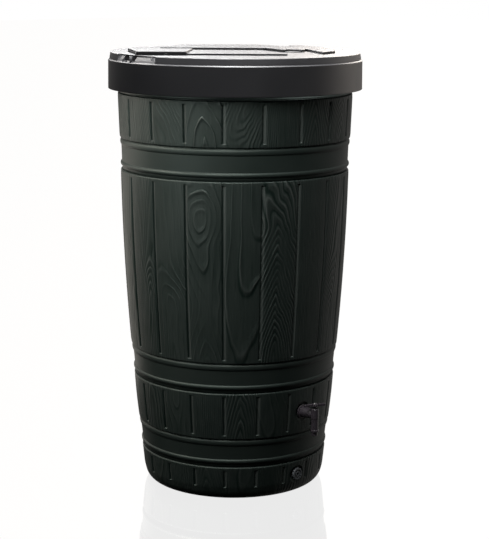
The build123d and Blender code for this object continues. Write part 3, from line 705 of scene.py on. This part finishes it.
def makeTub():
    # lowest band with the rounded foot, the standing ring and the recessed floor, thickened later;
    # heights of the foot: curve*(1 - cos(pi/2*t^1.3)), close together at the floor
    seat, recess, ringOuter = seats["drain"], foot["recess"], foot["ringOuter"]
    ringInner = ringOuter - foot["ringWidth"]
    under = roundedPath([(foot["innerRing"], recess, 0), (ringInner - recess, recess, 2),
                         (ringInner, 0, 2), (ringOuter - 1, 0, 0)])
    z = foot["curve"] * (1 - np.cos(np.linspace(0.05, 1, 16) ** 1.3 * pi / 2))
    arc = np.stack([footRadius(z), z], -1)
    arc = arc[arc[:, 1] < bands[0]["low"] - 0.8]
    face = bandProfile(0, seat)
    face[:, 0] -= footInset(face[:, 1])
    return staveSheet("footTub", 0, np.vstack([under, arc, face]), staveAngles(0, seat),
                      footRadius, seat, capStart=(0, 0, recess))


def makeTapBand():
    seat = seats["tap"]
    return staveSheet("tapBand", 1, bandProfile(1, seat), staveAngles(1, seat),
                      lambda height: staveRadius(bands[1], height), seat)


def makeBand(number, name):
    # band closed by an inner wall of its own, with a tuck in at both ends
    band, wall, tuck = bands[number], staves["wall"], 1.5
    outer = bandProfile(number)
    top, bottom = outer[-1], outer[0]
    z = band["low"] + np.linspace(1, 0, 9) * (band["high"] - band["low"])
    inside = np.stack([staveRadius(band, z) - wall, z], -1)
    inner = np.vstack([[(top[0] - wall + tuck, top[1])], inside, [(bottom[0] - wall + tuck, bottom[1])]])
    return staveSheet(name, number, outer, staveAngles(number), inner=inner)


def makeHoop(number, name):
    # groove, small bead, flat band, large bead and gap, closed by a straight inner wall
    below, above, flat = bands[number], bands[number + 1], hoops["flat"]
    groove, band, gap = hoops["grooveDepth"], hoops["bandInset"], hoops["gapDepth"]
    low, high = below["high"] + staves["edgeHeight"], above["low"] - staves["edgeHeight"]
    grooveTop = low + hoops["grooveHeight"]
    beadTop = grooveTop + hoops["beadHeight"]
    gapBottom = above["low"] - hoops["gapHeight"]
    largeBottom = gapBottom - hoops["largeBeadHeight"]

    def at(z, inset):
        return np.array([[hoopRadius(below, above, z) - inset, z]])

    def bead(z0, inset0, crest, z1, inset1):
        # half-ellipse between two heights, blended from one inset to the other
        a = np.linspace(0, pi, 15)
        t = (1 - np.cos(a)) / 2
        z, inset = z0 + (z1 - z0) * t, inset0 + (inset1 - inset0) * t
        return np.stack([hoopRadius(below, above, z) - inset + np.sin(a) * (inset - crest), z], -1)

    profile = np.vstack([
        at(low, groove), at(grooveTop - flat, groove), bead(grooveTop, groove, 0.0, beadTop, band),
        at(beadTop + flat, band), at((beadTop + largeBottom) / 2, band), at(largeBottom - flat, band),
        bead(largeBottom, band, hoops["largeBeadInset"], gapBottom, gap), at(high, gap),
        at(high, hoops["innerDepth"]), at(low, hoops["innerDepth"])])
    return sheet(name, revolve(profile, fullTurn), loop=True)


def makeMouth():
    # groove under the collar, collar, turned-out rim with its lip, and the inner face of the mouth
    m = mouth
    groove, collar, rim, wall = m["grooveRadius"], m["collarRadius"], m["rimRadius"], m["rimWall"]
    bottom, low, top, inner = m["grooveBottom"], m["collarBottom"], m["rimTop"], m["innerLow"]
    lip = top - m["lipHeight"]
    profile = roundedPath([
        (groove, bottom, 0), (groove, low - m["collarEdge"], 0.6), (collar, low, 1.6),
        (collar, top - wall, 2.0), (rim - wall, top - wall, 1.5), (rim - wall, lip, 0.8), (rim, lip, 0.8),
        (rim, top, 2.5), (collar - wall, top, 2.5), (collar - wall, low + m["collarThickness"], 3.0),
        (inner, low, 2.0), (inner, bottom, 0)], closed=True)
    return sheet("barrelMouth", revolve(profile, fullTurn), loop=True)


def thicken(piece, thickness, innerMaterial):
    # wall grown inwards, with its own material inside
    piece.data.materials.append(innerMaterial)
    solid = piece.modifiers.new("wall", "SOLIDIFY")
    solid.thickness = thickness / 1000
    solid.offset = -1
    solid.material_offset = 1
    solid.material_offset_rim = 1


def addBarrelPiece(mesh, material):
    return addPiece(mesh, material, "barrel", ["barrel_body"])


for mesh in (makeTub(), makeTapBand()):
    thicken(addBarrelPiece(mesh, grainedPlastic), staves["wall"], smoothPlastic)
addBarrelPiece(makeBand(2, "bellyBand"), grainedPlastic)
addBarrelPiece(makeBand(3, "topBand"), grainedPlastic)
for number, name in enumerate(("lowHoop", "middleHoop", "highHoop")):
    addBarrelPiece(makeHoop(number, name), smoothPlastic)
addBarrelPiece(makeMouth(), smoothPlastic)
print("barrel made")

# lid

lid = {
    "top": 1195.5, "under": 1191.5, "wall": 4.0, "skirtBottom": 1097.5, "skirtRadius": 346.6,
    "skirtTopRadius": 346.0, "bevelBottom": 1174.4, "bevelRadius": 344.5,
    "shoulder": 1177.2, "rimRadius": 342.6, "rimTopRadius": 339.8,
    "rimSide": ((341.8, 1182.8), (340.5, 1190.6)), "rimInside": ((337.2, 1191.5), (338.6, 1176.5)),
    "skirtInside": (342.0, 1169),
    "guideOuter": 316.0, "guideInner": 312.0, "guideBottom": 1154.0,
    "gripAngles": (-94.2, 85.8), "gripHalf": 14.4, "gripRadius": 330.6, "gripWall": 1.0,
    "gripSide": ((338.6, 1182.8), (330.6, 1191.5)), "gripUnder": 1172, "pocketWallTop": 1191.2,
    "pocketOffset": -4.1, "pocketHalf": 5.4, "pocketFloor": 1175.7, "pocketRadius": 329.6,
    "pocketSlope": 4.0,
    "ribs": 24, "ribWidth": 3.0, "ribBottom": 1168.0, "ribInner": 314, "ribOuter": 337, "ribCorner": 0.6,
    "spacing": 1.2, "sideWall": 0.1, "nearSideWall": (-0.4, -0.16, -0.08, 0, 0.08, 0.16, 0.4),
    "undersideShare": 0.42,
}


def lidProfile(kind):
    # outline from the middle of the underside out, up over the rim and back to the middle of the top;
    # the plain, grip and pocket outlines have the same corners in the same order
    g = lid
    top, under, floor, pocket = g["top"], g["under"], g["pocketFloor"], g["pocketRadius"]
    backRadius = g["gripRadius"] - g["wall"]
    guide = [
        (0, under, 0), (g["guideInner"], under, 1.5), (g["guideInner"], g["guideBottom"], 0.8),
        (g["guideOuter"], g["guideBottom"], 0.8), (g["guideOuter"], under, 1.5)]
    if kind == "plain":
        behind = [*g["rimInside"], g["skirtInside"]]
    else:
        behind = [(backRadius, under), (backRadius, g["gripUnder"]), (g["skirtInside"][0], g["gripUnder"])]
    skirt = [
        (g["skirtRadius"] - g["wall"], g["skirtBottom"], 0.8), (g["skirtRadius"], g["skirtBottom"], 1.2),
        (g["skirtTopRadius"], g["bevelBottom"], 0.6), (g["bevelRadius"], floor, 0.4)]
    rims = {
        "plain": [(g["rimRadius"], g["shoulder"], 0.5), *((*spot, 0.8) for spot in g["rimSide"]),
                  (g["rimTopRadius"], top, 2.6)],
        "grip": [(g["rimRadius"], g["shoulder"], 0.5), *((*spot, 0.8) for spot in g["gripSide"]),
                 (g["gripRadius"], top, 1.2)],
        "pocket": [(pocket + g["pocketSlope"], floor, 0.9), (pocket, floor + g["pocketSlope"], 0.8),
                   (pocket, g["pocketWallTop"], 0.8), (g["gripRadius"], top, 1.2)],
    }
    return roundedPath([*guide, *((*spot, 1.5) for spot in behind), *skirt, *rims[kind], (0, top, 0)])


def lidAngles():
    # evenly spaced columns, closer at the side walls of the grips and pockets
    near = np.array(lid["nearSideWall"])
    angles = [np.arange(-180, 180, lid["spacing"])]
    for half, offset in ((lid["gripHalf"], 0), (lid["gripHalf"] + lid["gripWall"], 0),
                         (lid["pocketHalf"], lid["pocketOffset"])):
        for centre in lid["gripAngles"]:
            angles += [centre + offset - half + near, centre + offset + half + near]
    return thinOut(np.sort((np.concatenate(angles) + 180) % 360 - 180), 0.05)


def around(angles, half, offset=0):
    # one within half of the middle of either grip, falling to nought over a narrow side wall
    centres = np.array(lid["gripAngles"])[:, None] + offset
    away = np.abs((angles - centres + 180) % 360 - 180)
    return (1 - smoothStep(away, half - lid["sideWall"], half + lid["sideWall"])).sum(0)


def makeLidShell():
    # plain outline blended with the grip and pocket outlines round the rim; the first part of the
    # outline is the underside, where a grip is wider by its wall
    angles = lidAngles()
    plain, grip, pocket = (lidProfile(kind) for kind in ("plain", "grip", "pocket"))
    underside = np.arange(len(plain)) < int(len(plain) * lid["undersideShare"])
    gripWeight, backWeight = (around(angles, lid["gripHalf"] + extra) for extra in (0, lid["gripWall"]))
    pocketWeight = around(angles, lid["pocketHalf"], lid["pocketOffset"])
    weight = np.where(underside[:, None], backWeight, gripWeight)
    r, z = (
        plain[:, k:k + 1] + (grip[:, k:k + 1] - plain[:, k:k + 1]) * weight
        + (pocket[:, k:k + 1] - grip[:, k:k + 1]) * pocketWeight for k in (0, 1))
    turn = np.radians(angles)
    points = np.stack([r * np.sin(turn), -r * np.cos(turn), z], -1)[1:-1]
    return sheet("lidShell", points, capStart=(0, 0, lid["under"]), capEnd=(0, 0, lid["top"]))


# raised boards on the lid: outlines run anticlockwise, in places before the whole set is turned;
# heights are above the lid
boards = {
    "turn": -42.5, "edge": 1.0, "corner": 2.5, "sunk": 2, "rim": 0.6,
    "notchCentre": (156, -38), "notchRadius": 23.0, "notchTurns": (170, 10),
}
notchTurn = np.radians(np.linspace(*boards["notchTurns"], 17))[:, None]
notchArc = boards["notchCentre"] + boards["notchRadius"] * np.hstack([np.cos(notchTurn), np.sin(notchTurn)])
boardShapes = {
    "lowBoard": {
        "outline": [(-262, -196), (136, -196), (72, -20), (-262, -20)], "height": 5.0,
        "centre": (-90, -108)},
    "highBoard": {
        "outline": [(-257, -205), (-128, -205), (-116, -50), (-290, -50)], "height": 10.3,
        "centre": (-200, -120)},
    "middleBoard": {
        "outline": [(-208, 57), (83, 57), (131, -34), *notchArc, (184, -34), (205, 90), (60, 240),
                    (-150, 220)],
        "height": 7.5, "centre": (140, 78)},
    "edgeBoard": {
        "outline": [(231, -134), (268, -70), (250, 110), (180, 235), (152, 200)], "height": 6.9,
        "centre": (215, 60)},
    "thumbRest": {"outline": [*notchArc[::-1], (156, -40)], "height": 2.5, "centre": (156, -26)},
}


def makeBoard(name, shape):
    # raised plate: outline carried up, rounded over by edge*(1 - cos a), edge*(1 - sin a), and closed
    spots = np.array(shape["outline"], float)
    edge, rim, height = boards["edge"], boards["rim"], shape["height"]
    shorter = np.minimum(*(np.hypot(*(np.roll(spots, k, 0) - spots).T) for k in (-1, 1)))
    corner = np.minimum(boards["corner"], 0.4 * shorter)
    outline = roundedPath(np.column_stack([spots, corner]), closed=True, steps=3, support=0.5)
    ahead = np.roll(outline, -1, 0) - np.roll(outline, 1, 0)
    inward = np.stack([-ahead[:, 1], ahead[:, 0]], -1) / np.hypot(*ahead.T)[:, None]
    a = np.linspace(0, pi / 2, 5)
    insets = np.concatenate([[0, 0], edge * (1 - np.cos(a)), [edge + rim]])
    heights = [[-boards["sunk"], height - edge - rim], height - edge * (1 - np.sin(a)), [height]]
    x = outline[:, 0] + inward[:, 0] * insets[:, None]
    y = outline[:, 1] + inward[:, 1] * insets[:, None]
    points = np.stack([x, y, lid["top"] + np.concatenate(heights)[:, None] + 0 * x], -1)
    turn = np.array(Matrix.Rotation(radians(boards["turn"]), 3, "Z"))
    ends = np.array([(*shape["centre"], lid["top"] + h) for h in (-boards["sunk"], height)]) @ turn.T
    return sheet(name, points @ turn.T, capStart=tuple(ends[0]), capEnd=tuple(ends[1]))


def makeLidRibs():
    # short webs between the guide ring and the rim, each a rounded outline turned to its place
    half, start, end = lid["ribWidth"] / 2, lid["ribInner"], lid["ribOuter"]
    corners = [(start, -half), (end, -half), (end, half), (start, half)]
    section = roundedPath([(*spot, lid["ribCorner"]) for spot in corners], closed=True, steps=3)
    turns = (np.arange(lid["ribs"]) + 0.5) * 2 * pi / lid["ribs"]
    x = section[:, 0] * np.cos(turns)[:, None] - section[:, 1] * np.sin(turns)[:, None]
    y = section[:, 0] * np.sin(turns)[:, None] + section[:, 1] * np.cos(turns)[:, None]
    levels = np.array([lid["ribBottom"], lid["under"] + 1])
    points = np.stack(np.broadcast_arrays(x[:, None], y[:, None], levels[None, :, None]), -1)
    count, size = points.shape[0], points.shape[2]
    index = np.arange(points[..., 0].size).reshape(count, 2, size)
    ahead = np.roll(index, -1, 2)
    quads = np.stack([index[:, 0], ahead[:, 0], ahead[:, 1], index[:, 1]], -1).reshape(-1, 4)
    vertices = points.reshape(-1, 3)
    centres = points.mean(2).reshape(-1, 3)
    hub = len(vertices) + np.arange(2 * count).reshape(count, 2, 1) + 0 * index
    lower = np.stack([ahead[:, 0], index[:, 0], hub[:, 0]], -1).reshape(-1, 3)
    upper = np.stack([index[:, 1], ahead[:, 1], hub[:, 1]], -1).reshape(-1, 3)
    return buildMesh("lidRibs", np.vstack([vertices, centres]), quads, np.vstack([lower, upper]).tolist())


for mesh in (makeLidShell(), *(makeBoard(*item) for item in boardShapes.items()), makeLidRibs()):
    addPiece(mesh, plainMaterials["lid plastic"], "lid", ["lid"])
print("lid made")

# tap, drain and seals keep their CAD shapes and take these finishes

finishNodes = {
    "tap plastic": ("tap_body", "tap_lock_nut", "tap_valve_core", "tap_handle"),
    "seal rubber": (
        "tap_outer_washer", "tap_inner_washer", "tap_gland_ring", "tap_core_seals", "drain_gasket"),
    "plug plastic": ("drain_insert", "drain_plug"),
    "screw steel": ("tap_handle_screw",),
}
for finishName, nodeNames in finishNodes.items():
    for name in nodeNames:
        node = frame["nodes"][name]
        node.data.materials.clear()
        node.data.materials.append(plainMaterials[finishName])
print("small parts finished")

# floor, light and camera: places and sizes are metres here, angles are degrees

view = {
    "place": (-2.9893, -3.2427, 1.4341), "ahead": (0.676, 0.737, 0), "right": 0.510, "down": 10.830,
    "roll": -0.322, "lens": 107.234,
}
studio = {
    "floorSize": 60.0, "floorGlow": 1.90, "mirror": 0.57, "mirrorRoughness": 0.05,
    "lampSize": 0.9, "aim": (0, 0, 0.7), "skyTurn": 150, "skyRise": 20, "sky": 0.40,
}
# soft lamps: degrees to the right of the camera's side, height, distance from the middle, watts, colour
white, soft, warm = (1, 1, 1), (1, 0.96, 0.92), (1, 0.91, 0.83)
barrelLamps = {
    "frontHigh": (-15, 2.1, 1.5, 36.0, soft),
    "leftHigh": (-75, 1.9, 1.5, 31.0, warm),
    "frontLeft": (-45, 1.1, 1.4, 4.0, white),
    "left": (-105, 1.1, 1.4, 4.6, warm),
    "lowLeftEdge": (-135, 0.3, 1.6, 2.4, warm),
    "overhead": (20, 3.2, 1.1, 34.0, white),
}
lidLamps = {
    "rightEdge": (105, 1.1, 1.4, 3.2, warm),
    "rightBehind": (150, 1.9, 1.5, 40.0, warm),
    "leftBehind": (-135, 3.0, 2.0, 83.0, soft),
    "behind": (-165, 3.0, 2.0, 101.0, white),
    "leftAbove": (-75, 3.0, 2.0, 25.0, white),
    "frontAbove": (15, 3.0, 2.0, 22.0, white),
    "overLid": (0, 3.6, 0.5, 360.0, white),
}
collarLamps = {
    "underLid": (60, 0.7, 1.5, 12.0, white),
    "underLidLeft": (-45, 0.7, 1.5, 3.0, white),
}


def directionFrom(turn, rise):
    # unit vector the given degrees to the right of the camera's side of the barrel and above the floor
    x, y, z = view["ahead"]
    right = Vector((y, -x, 0)).normalized()
    level = right * sin(radians(turn)) - Vector((x, y, z)).normalized() * cos(radians(turn))
    return level * cos(radians(rise)) + Vector((0, 0, sin(radians(rise))))


def makeFloor():
    # one square at z = 0 with the barrel at its middle
    corners = np.array([(-1, -1, 0), (1, -1, 0), (1, 1, 0), (-1, 1, 0)]) * studio["floorSize"] * 500
    floor = bpy.data.objects.new("floor", buildMesh("floor", corners, np.arange(4)[None]))
    bpy.context.scene.collection.objects.link(floor)
    finish = Finish(bpy.data.materials.new("floor white"))
    glow = finish.node("ShaderNodeEmission", {}, {"Color": (*white, 1), "Strength": studio["floorGlow"]})
    mirror = finish.node("ShaderNodeBsdfGlossy", {}, {
        "Color": (*white, 1), "Roughness": studio["mirrorRoughness"]})
    both = finish.node("ShaderNodeMixShader", {}, {0: studio["mirror"], 1: glow, 2: mirror})
    finish.node("ShaderNodeOutputMaterial", {}, {"Surface": both})
    floor.data.materials.append(finish.owner)
    floor.visible_glossy = False
    floor.visible_diffuse = False


def makeWorld():
    # white where the camera looks; as light, sky * cos(angle from the brightest direction), never below
    # nought, with the brightest direction behind the barrel
    world = bpy.data.worlds.new("studio")
    bpy.context.scene.world = world
    finish = Finish(world)
    brightest = directionFrom(studio["skyTurn"], studio["skyRise"])
    place = finish.node("ShaderNodeTexCoord", output=0)
    level = finish.node("ShaderNodeVectorMath", {"operation": "DOT_PRODUCT"}, {
        0: place, 1: brightest}, output=1)
    strength = level.most(0.0) * studio["sky"]
    light = finish.node("ShaderNodeBackground", {}, {"Color": (*soft, 1), "Strength": strength})
    seen = finish.node("ShaderNodeBackground", {}, {"Color": (*white, 1), "Strength": 1.0})
    camera = finish.node("ShaderNodeLightPath", output=0)
    both = finish.node("ShaderNodeMixShader", {}, {0: camera, 1: light, 2: seen})
    finish.node("ShaderNodeOutputWorld", {}, {"Surface": both})


def addLamps(lamps, name, bodies=frozenset(), pieces=()):
    # square soft lamps aimed at the middle of the barrel, lighting only the pieces of the given bodies
    # and the pieces named
    lit = bpy.data.collections.new(name)
    for piece in bpy.context.scene.objects:
        if piece.type == "MESH" and (piece.name in pieces or set(body_of(piece) or ()) & bodies):
            lit.objects.link(piece)
    for lampName, (turn, height, distance, power, colour) in lamps.items():
        data = bpy.data.lights.new(lampName, "AREA")
        data.energy = power
        data.color = colour
        data.size = studio["lampSize"]
        lamp = bpy.data.objects.new(lampName, data)
        lamp.location = directionFrom(turn, 0) * distance + Vector((0, 0, height))
        lamp.rotation_euler = (Vector(studio["aim"]) - lamp.location).to_track_quat("-Z", "Y").to_euler()
        lamp.light_linking.receiver_collection = lit
        bpy.context.scene.collection.objects.link(lamp)


def addCamera():
    ahead = Matrix.Rotation(-radians(view["right"]), 3, "Z") @ Vector(view["ahead"]).normalized()
    side = ahead.cross(Vector((0, 0, 1))).normalized()
    forward = cos(radians(view["down"])) * ahead - sin(radians(view["down"])) * Vector((0, 0, 1))
    up = side.cross(forward)
    roll = radians(view["roll"])
    right = cos(roll) * side - sin(roll) * up
    top = sin(roll) * side + cos(roll) * up
    data = bpy.data.cameras.new("camera")
    data.lens = view["lens"]
    camera = bpy.data.objects.new("camera", data)
    turned = Matrix((right, top, -forward)).transposed().to_4x4()
    camera.matrix_world = Matrix.Translation(view["place"]) @ turned
    bpy.context.scene.collection.objects.link(camera)
    bpy.context.scene.camera = camera


makeFloor()
makeWorld()
addLamps(barrelLamps, "barrelLit", {"barrel", "tap_valve", "drain_gasket", "drain_plug"})
addLamps(lidLamps, "lidLit", {"lid"})
addLamps(collarLamps, "collarLit", pieces=("barrelMouth",))
addCamera()
bpy.context.scene.view_settings.view_transform = "Standard"
print("floor, light and camera ready")
